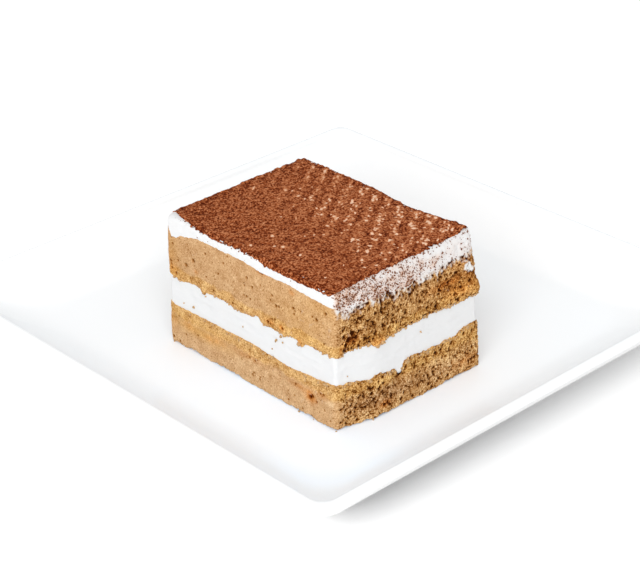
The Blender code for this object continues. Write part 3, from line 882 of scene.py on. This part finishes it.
# Where the cream shines through most: place, half the streak's length and width, strength.
BARE_STREAKS = (
    (-1.6, 18.4, 1.5, 0.6, 1), (-2.6, 19.4, 0.9, 0.4, 0.9), (18.7, 23.7, 1.2, 0.6, 1),
    (0.9, 27.4, 0.9, 0.4, 0.9), (2.9, 25.2, 1.6, 0.3, 0.6), (18, 10.7, 1.6, 0.4, 0.8),
    (34.8, 13, 0.9, 0.4, 0.9), (38, 27.3, 1, 0.7, 1), (18.7, -1.3, 0.6, 0.45, 0.9),
    (-10.9, -6.3, 0.6, 0.5, 0.75), (5.1, -10.2, 0.6, 0.3, 0.85), (-20.9, 17.3, 0.7, 0.5, 0.7),
    (-15.2, 8.7, 0.9, 0.45, 0.75), (-23.4, 10.1, 0.8, 0.5, 0.65), (-7, 6.6, 0.7, 0.45, 0.7),
    (-6.3, -3.8, 1.1, 0.35, 0.6), (27.3, -1.3, 0.8, 0.35, 0.9), (29.4, -16.1, 0.5, 0.3, 0.85),
    (-3.4, 2.3, 0.7, 0.4, 0.6), (-20, 27, 2.4, 0.5, 0.5), (-11, 23, 1.2, 0.45, 0.6),
    (30.5, 19, 0.8, 0.5, 0.6), (33, 5.6, 0.6, 0.4, 0.8), (-26, 14, 1.2, 0.6, 0.45),
)


def turned(x, y):
    """A place on the top, measured along the slanted rows and across them."""
    return x * ROW_COS + y * ROW_SIN, y * ROW_COS - x * ROW_SIN


def thin_spots(x, y, random):
    """Where the powder lies so thin that cream shows: short streaks in slanted rows, most far right."""
    streaks = list(BARE_STREAKS)
    for _ in range(STREAKS):
        streak_x, streak_y = random.uniform(-38, 39), random.uniform(-29, 31)
        soft = ease((-streak_x - 2.0) / 12.0)
        length = (0.5 + 0.8 * random.random() ** 2) * (1.0 + 0.6 * soft)
        strength = (0.3 + 0.65 * random.random() ** 1.3) * (1.0 - 0.3 * soft)
        favoured = 0.02 + 0.98 * ease((0.7 * streak_x + 2.0 * streak_y + 18.0) / 75.0)
        if random.random() < favoured:
            row = turned(streak_x, streak_y)[1]
            aside = (0.42 + 0.35 * soft) * (round(row / ROW_SPACING) * ROW_SPACING - row)
            streaks.append((streak_x - aside * ROW_SIN, streak_y + aside * ROW_COS,
                            length, 0.4 + 0.35 * random.random(), strength))
    thin = np.zeros(x.shape)
    for streak_x, streak_y, length, width, strength in streaks:
        from_along, from_across = turned(x - streak_x, y - streak_y)
        reach = (abs(from_along) < 2.5 * length) & (abs(from_across) < 2.5 * width)
        spot = bump(np.hypot(from_along[reach] / length, from_across[reach] / width))
        thin[reach] = np.maximum(thin[reach], strength * spot)
    return thin


def at_rim(values, face, x, y):
    """Values given at the stations, read along one face at any place."""
    here = np.flatnonzero(RIM.face == face)
    order = here[np.argsort(RIM.along[here])]
    return np.interp(x if face in (FRONT, BACK) else y, RIM.along[order], values[order])


def hang_rings(rim, out, skin):
    """Rings down from the powder's rim, lying on the cream's side down to the powder's ragged hem."""
    out_x, out_y = out.T[:2]
    face = np.where(out_x, np.where(out_x > 0, RIGHT, LEFT), np.where(out_y > 0, BACK, FRONT))
    along = np.where(out_x, rim[:, 1], rim[:, 0])
    apart = np.abs(RIM.along - along[:, None]) + 1e3 * (RIM.face != face[:, None])
    station = apart.argmin(1)
    column = skin[:, station]
    over = ease((0.8 - rim_inset()[station]) / 0.4)[:, None]
    ragged = noise_sum(rim, 55, (0.35, 1.5), (0.3, 0.6))
    hem = np.where(face == FRONT, knot_height(COCOA_HEM, along), 49.0) + ragged
    rings = []
    for share in HANG_SHARES:
        z = rim[:, 2] + share * np.minimum(hem - rim[:, 2], -0.2)
        on_cream = [[np.interp(z[i], column[:, i, 2], column[:, i, axis]) for i in range(len(z))]
                    for axis in (0, 1)]
        lying = np.column_stack([*on_cream, z + 0.08]) + 0.22 * out
        stopping = rim + 0.05 * out - (0.0, 0.0, 0.3 * share)
        rings.append(stopping + (lying - stopping) * over)
    return [*rings, rings[-1] - 0.9 * out + (0.0, 0.0, 0.05)]


def powder_surface(random):
    """Points, tones and thin spots of the powder's top, on a grid drawn back to its ragged rim."""
    half_x, half_y = PORTION_LENGTH / 2, PORTION_WIDTH / 2
    x, y = np.meshgrid(np.linspace(-half_x, half_x, round(2 * half_x / COCOA_STEP) + 1),
                       np.linspace(-half_y, half_y, round(2 * half_y / COCOA_STEP) + 1))
    rim = rim_inset()
    to_rim = np.stack([y + half_y, half_x - x, half_y - y, x + half_x])
    shift = []
    for face in FACES:
        at = at_rim(rim, face, x, y)
        shift.append(at * np.exp(-to_rim[face] / np.maximum(2.0, 2.0 * at)))
    flat_x = x + shift[LEFT] - shift[RIGHT]
    flat_y = y + shift[FRONT] - shift[BACK]
    to_edge = np.stack([flat_y + half_y, half_x - flat_x, half_y - flat_y, flat_x + half_x])
    inward = to_rim.min(0)

    thin = thin_spots(x, y, random) * ease(inward / 1.5)
    flat = np.stack([flat_x, flat_y, np.zeros(x.shape)], -1)
    clumps = 0.8 * smooth_noise(flat, 1.1, 51) + 0.4 * smooth_noise(flat, 0.6, 54)
    clumps += 0.3 * (random.random(x.shape) - 0.5)
    swells = noise_sum(flat, 52, (0.5, 5.0), (0.5, 2.0))
    pit = pits(flat, 1.2, 0.5, 57) * (1.0 - 0.6 * ease((-x - 20.0) / 15.0))
    z = cream_height(flat_x, flat_y) + 0.08 + POWDER_THICKNESS * ease(0.35 + inward / 1.2)
    z -= np.stack([edge_drop(to_edge[face] + 0.25, EDGE_RADIUS[face]) for face in FACES]).max(0)
    z += 0.24 * clumps + 0.12 * swells - 0.15 * pit - 0.12 * thin
    far_heap = 0.9 * bump(np.hypot((x - 39.0) / 5.0, (y - 31.5) / 3.5))
    rim_relief = 0.45 * smooth_noise(flat, 1.7, 58) * bump(inward / 2.5)
    z += far_heap
    z += rim_relief

    edge = np.clip(bump(inward / 2.2) + 0.62 * bump((x + half_x) / 12.0), 0.0, 1.0)
    row_wave = np.cos(2.0 * math.pi * turned(x, y)[1] / ROW_SPACING)
    # Painted light and shade: the tone is lighter on the raised clumps and swells and darker in the pits;
    # it is also darker near the rim and towards the left end.
    tone = COCOA_TONE + 0.26 * clumps + 0.06 * swells - 0.26 * pit - 0.12 * edge
    tone += 0.07 * row_wave * ease((y + 16.0) / 20.0) - 0.045 * ease(-y / 15.0)
    return place(flat_x, flat_y, z), tone, thin


def add_cocoa(skin):
    """The powder: a fine sheet with a ragged rim that hangs over the edge, its grains in relief."""
    random = np.random.default_rng(5)
    top, tone, thin = powder_surface(random)
    rows, columns = tone.shape
    index = np.arange(rows * columns).reshape(rows, columns)
    quads = np.stack([index[:-1, :-1], index[:-1, 1:], index[1:, 1:], index[1:, :-1]], -1)
    ring = np.concatenate([index[0, :-1], index[:-1, -1], index[-1, :0:-1], index[:0:-1, 0]])
    lengths = (columns - 1, rows - 1, columns - 1, rows - 1)
    out = np.repeat([(0, -1, 0), (1, 0, 0), (0, 1, 0), (-1, 0, 0)], lengths, axis=0)
    hung = hang_rings(top.reshape(-1, 3)[ring], out, skin)
    count = len(ring)
    rings = [ring] + [rows * columns + step * count + np.arange(count) for step in range(len(hung))]
    skirt = [band(lower, upper) for upper, lower in zip(rings, rings[1:])]
    base = fan(rings[-1], rings[-1][-1] + 1)
    centre = (0.0, 0.0, hung[-1][:, 2].mean())
    vertices = np.concatenate([top.reshape(-1, 3), *hung, [centre]])
    tones = np.concatenate([tone.ravel(), 0.34 + 0.24 * random.random(len(hung) * count + 1)])
    faces = quads.reshape(-1, 4).tolist() + np.concatenate(skirt).tolist() + base.tolist()
    masks = {"tone": tones, "thin": np.concatenate([thin.ravel(), np.zeros(len(tones) - thin.size)])}
    add_piece("cocoa_powder", vertices, faces, cocoa(), ("cocoa_dusting",), STAND, masks)


# ---- Loose grains and crumbs ----

GRAINS = 2200
HANGING_CRUMBS = 420  # tried at the upper sponge's lower edge
LYING_CRUMBS = 300  # tried at the lower sponge's upper edge
FALLEN_CRUMBS = 8  # on the plate

# Crumbs that stick to the cream of each face: distance along it, height, radius.
CRUMBS_ON_CREAM = {
    FRONT: ((-28.5, 18, 0.6), (13.2, 22.4, 0.6), (15.6, 24.6, 0.5), (16.2, 22.6, 0.35),
            (12.6, 21.4, 0.3), (11, 18.2, 0.35), (-21.8, 24.6, 0.5), (24.8, 25.6, 0.7),
            (-3.2, 20.4, 0.25), (-33.4, 17.4, 0.3)),
    RIGHT: ((4.6, 22.9, 0.4), (-27, 18.6, 0.3)),
}


def icosahedron():
    """The twelve corners and twenty faces of a small round lump."""
    golden = (1.0 + math.sqrt(5.0)) / 2.0
    corners = []
    for first in (-1.0, 1.0):
        for second in (-golden, golden):
            corners += [(first, second, 0.0), (0.0, first, second), (second, 0.0, first)]
    corners = np.array(corners) / math.hypot(1.0, golden)
    near = np.linalg.norm(corners[:, None] - corners[None], axis=-1) < 1.1
    faces = []
    for a in range(12):
        for b in range(a + 1, 12):
            for c in range(b + 1, 12):
                if near[a, b] and near[b, c] and near[a, c]:
                    across = np.cross(corners[b] - corners[a], corners[c] - corners[a])
                    faces.append((a, b, c) if np.dot(across, corners[a]) > 0 else (a, c, b))
    return corners, np.array(faces)


def add_lumps(name, centres, radii, unevenness, material, random):
    """Many small irregular lumps joined into one mesh."""
    corners, faces = icosahedron()
    count = len(centres)
    shape = corners * (1.0 + unevenness * (random.random((count, 12, 1)) - 0.5))
    shape = shape * (1.0 + 0.7 * (random.random((count, 1, 3)) - 0.5))
    vertices = centres[:, None] + shape * radii[:, None, None]
    joined = faces + 12 * np.arange(count)[:, None, None]
    add_piece(name, vertices.reshape(-1, 3), joined.reshape(-1, 3).tolist(), material, at=STAND)


def add_cocoa_grains(skin):
    """Cocoa that fell over the edge onto the top cream: random points, likelier where dust lies thick."""
    random = np.random.default_rng(61)
    weights = dust_amount(skin) ** 1.5 + 0.002
    weights += 0.15 * ease((skin[..., 2] - 48.0) / 1.2) * (0.1 + 0.6 * TORN)
    chosen = random.choice(weights.size, GRAINS, p=weights.ravel() / weights.sum())
    row, station = np.unravel_index(chosen, weights.shape)
    radii = 0.09 + 0.22 * random.random(GRAINS) ** 2.5
    add_lumps("cocoa_grains", skin[row, station] + 0.3 * radii[:, None] * OUT[station], radii, 0.6,
              lump("cocoa_grain", (0.27, 0.085, 0.025), 0.95), random)


def add_crumbs(cream_side, sponge_low, sponge_high):
    """Sponge crumbs that stick to the cream, hang from the sponges' edges and lie at the foot."""
    random = np.random.default_rng(71)
    centres, radii = [], []
    for face, along, height, radius in listed(CRUMBS_ON_CREAM):
        row, station = nearest(cream_side, face, along, height)
        centres.append(cream_side[row, station] + 0.3 * radius * OUT[station])
        radii.append(radius)
    for side, rows, number in ((sponge_high, (0, 3), HANGING_CRUMBS),
                               (sponge_low, (-4, -1), LYING_CRUMBS)):
        for _ in range(number):
            station = random.integers(0, len(RIM.x))
            radius = 0.22 + 0.45 * random.random() ** 2
            row = random.integers(*rows)
            if random.random() < 0.35 + 0.65 * TORN[station]:
                centres.append(side[row, station] + 0.2 * radius * OUT[station])
                radii.append(radius)
    for _ in range(FALLEN_CRUMBS):
        station = random.integers(0, len(RIM.x))
        radius = 0.15 + 0.3 * random.random() ** 2
        away = 0.2 + 1.2 * random.random() ** 2
        foot = sponge_low[0, station] + away * OUT[station]
        centres.append((foot[0], foot[1], WELL_HEIGHT - STAND[2] + 0.6 * radius))
        radii.append(radius)
    add_lumps("sponge_crumbs", np.array(centres), np.array(radii), 0.7,
              lump("sponge_crumb", (0.72, 0.44, 0.20), 0.92), random)


# ---- Floor, light and camera ----

WORLD_STRENGTH = 0.68
KEY_ENERGY = 8.2
PLATE_ENERGY = 4.1
TABLE_ENERGY = 8.0
RIM_ENERGY = 0.5
FOOT_ENERGY = 0.011
WHITE = (1.0, 1.0, 1.0)
OVER_CAMERA = (-0.51, 0.61, -0.62)  # direction of the light that comes from over the camera
FLOOR_GLOW = (0.02, 0.29)  # near the plate's nearest corner, and far behind it
FLOOR_REACH = 5.0  # metres
TO_BACK = (-0.73, 0.68, 0.0)  # away from the camera along the floor


def add_floor():
    """A wide white table that glows as painted light, faintly near the plate and more towards the back,
    lightening its shade.
    """
    nodes = Nodes("floor_white", 0.9, 0.0)
    back = nodes.add("VectorMath", nodes.place, TO_BACK, operation="DOT_PRODUCT").outputs["Value"]
    nodes.give("Base Color", (0.9, 0.9, 0.9, 1.0))
    nodes.give("Emission Color", (*WHITE, 1.0))
    nodes.give("Emission Strength", nodes.steps(back, -0.12, 0.16, *FLOOR_GLOW))
    mesh = bpy.data.meshes.new("floor")
    corners = [(FLOOR_REACH * x, FLOOR_REACH * y, 0) for x, y in ((-1, -1), (1, -1), (1, 1), (-1, 1))]
    mesh.from_pydata(corners, [], [(0, 1, 2, 3)])
    mesh.materials.append(nodes.material)
    floor = add_object("floor", mesh)
    return floor


def add_soft_light(name, travel, distance, size, energy, colour):
    """A square soft light that shines past the portion in a direction."""
    travel = Vector(travel).normalized()
    data = bpy.data.lights.new(name, "AREA")
    data.size = size
    data.energy = energy
    data.color = colour
    light = add_object(name, data)
    light.location = Vector(STAND) * MM - travel * distance
    light.rotation_euler = travel.to_track_quat("-Z", "Y").to_euler()
    return light


def add_lights(floor, plate):
    """White surroundings, a soft light over the camera, and lights of their own for plate and table.

    The last two reach the plate alone, which alone blocks them: a bluish one from behind, on the inside
    of the near rim, and a small one that stands inside the portion and cancels the warm glow that the
    portion throws on the plate round its foot."""
    world = bpy.data.worlds.new("studio")
    world.use_nodes = True
    background = world.node_tree.nodes["Background"].inputs
    background["Color"].default_value = (*WHITE, 1.0)
    background["Strength"].default_value = WORLD_STRENGTH
    bpy.context.scene.world = world
    key = add_soft_light("key", OVER_CAMERA, 1.2, 0.9, KEY_ENERGY, WHITE)
    plate_light = add_soft_light("plate_light", OVER_CAMERA, 1.2, 0.9, PLATE_ENERGY, (0.93, 0.975, 1.0))
    table_light = add_soft_light("table_light", (-0.5, 1.5, -1.0), 0.9, 0.5, TABLE_ENERGY, WHITE)
    rim_light = add_soft_light("rim_light", (0.2, -1.0, -0.4), 0.6, 0.3, RIM_ENERGY, (0.5, 0.78, 1.0))
    foot_light = add_soft_light("foot_light", (0.1, -0.35, -0.93), 0.025, 0.03, FOOT_ENERGY,
                                (0.0, 0.5, 1.0))
    foot_light.data.spread = math.radians(150.0)
    for light, piece, state in ((key, floor, "EXCLUDE"), (plate_light, plate, "INCLUDE"),
                                (table_light, floor, "INCLUDE"), (rim_light, plate, "INCLUDE"),
                                (foot_light, plate, "INCLUDE")):
        linked = bpy.data.collections.new("linked_to_" + light.name)
        linked.objects.link(piece)
        linked.collection_objects[0].light_linking.link_state = state
        light.light_linking.receiver_collection = linked
    for light in (rim_light, foot_light):
        light.light_linking.blocker_collection = light.light_linking.receiver_collection


CAMERA_LENS = 112.5
CAMERA_AZIMUTH = math.radians(47.14)
CAMERA_ELEVATION = math.radians(28.17)
CAMERA_ROLL = math.radians(-0.99)
CAMERA_DISTANCE = 0.6837  # metres
CAMERA_AIM = (-2.35, 1.95, 25.0)  # millimetres from the portion's own centre at its underside


def add_camera():
    """The camera looks down at the corner between the smooth face and the coarse one."""
    back = Vector((math.sin(CAMERA_AZIMUTH) * math.cos(CAMERA_ELEVATION),
                   -math.cos(CAMERA_AZIMUTH) * math.cos(CAMERA_ELEVATION), math.sin(CAMERA_ELEVATION)))
    level = Vector((math.cos(CAMERA_AZIMUTH), math.sin(CAMERA_AZIMUTH), 0.0))
    turn = Matrix.Rotation(CAMERA_ROLL, 3, back)
    right, up = turn @ level, turn @ back.cross(level)
    data = bpy.data.cameras.new("camera")
    data.lens = CAMERA_LENS
    data.clip_end = 50.0
    camera = add_object("camera", data)
    camera.matrix_world = Matrix((right, up, back)).transposed().to_4x4()
    camera.location = (Vector(STAND) + Vector(CAMERA_AIM)) * MM + back * CAMERA_DISTANCE
    bpy.context.scene.camera = camera


# ---- The scene ----

# How ragged each face's edge is where two layers meet.
LOWER_RAGGED = (0.2, 0.5, 0.4, 0.3)
MIDDLE_RAGGED = (0.42, 0.42, 0.4, 0.4)
UPPER_RAGGED = (0.22, 0.75, 0.5, 0.3)

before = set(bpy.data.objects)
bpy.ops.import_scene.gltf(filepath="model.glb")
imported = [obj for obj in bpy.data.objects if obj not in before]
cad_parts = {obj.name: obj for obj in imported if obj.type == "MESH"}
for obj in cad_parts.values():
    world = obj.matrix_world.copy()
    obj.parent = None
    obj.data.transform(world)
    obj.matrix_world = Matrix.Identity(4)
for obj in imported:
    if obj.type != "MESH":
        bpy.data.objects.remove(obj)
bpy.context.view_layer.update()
PLATE_LOW, PLATE_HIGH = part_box("plate")
PLATE_SIDE = (PLATE_HIGH.x - PLATE_LOW.x) / MM
LIP_HEIGHT = PLATE_HIGH.z / MM
STAND = (*PORTION_CENTRE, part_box("sponge_lower")[0].z / MM)
bpy.context.scene.view_settings.view_transform = "Standard"

SPONGE = sponge()
CREAM = cream()

add_camera()
add_lights(add_floor(), add_plate())

lower = meeting_line(LOWER_LINE, LOWER_RAGGED, 11)
middle = meeting_line(MIDDLE_LINE, MIDDLE_RAGGED, 13)
upper = meeting_line(UPPER_LINE, UPPER_RAGGED, 15)
foot = WELL_HEIGHT - STAND[2] + 0.02
lower_side = add_sponge("sponge_lower_crumb", "sponge_lower", LOWER_SPONGE, foot + foot_lift(), lower,
                        (flat_cap(foot), flat_cap(LOWER_LINE["mean"])))
cream_side = add_cream_middle(lower, middle)
upper_side = add_sponge("sponge_upper_crumb", "sponge_upper", UPPER_SPONGE, middle, upper,
                        (flat_cap(MIDDLE_LINE["mean"]), flat_cap(UPPER_LINE["mean"])))
skin = add_cream_top(upper)
add_cocoa(skin)
add_cocoa_grains(skin)
add_crumbs(cream_side, lower_side, upper_side)
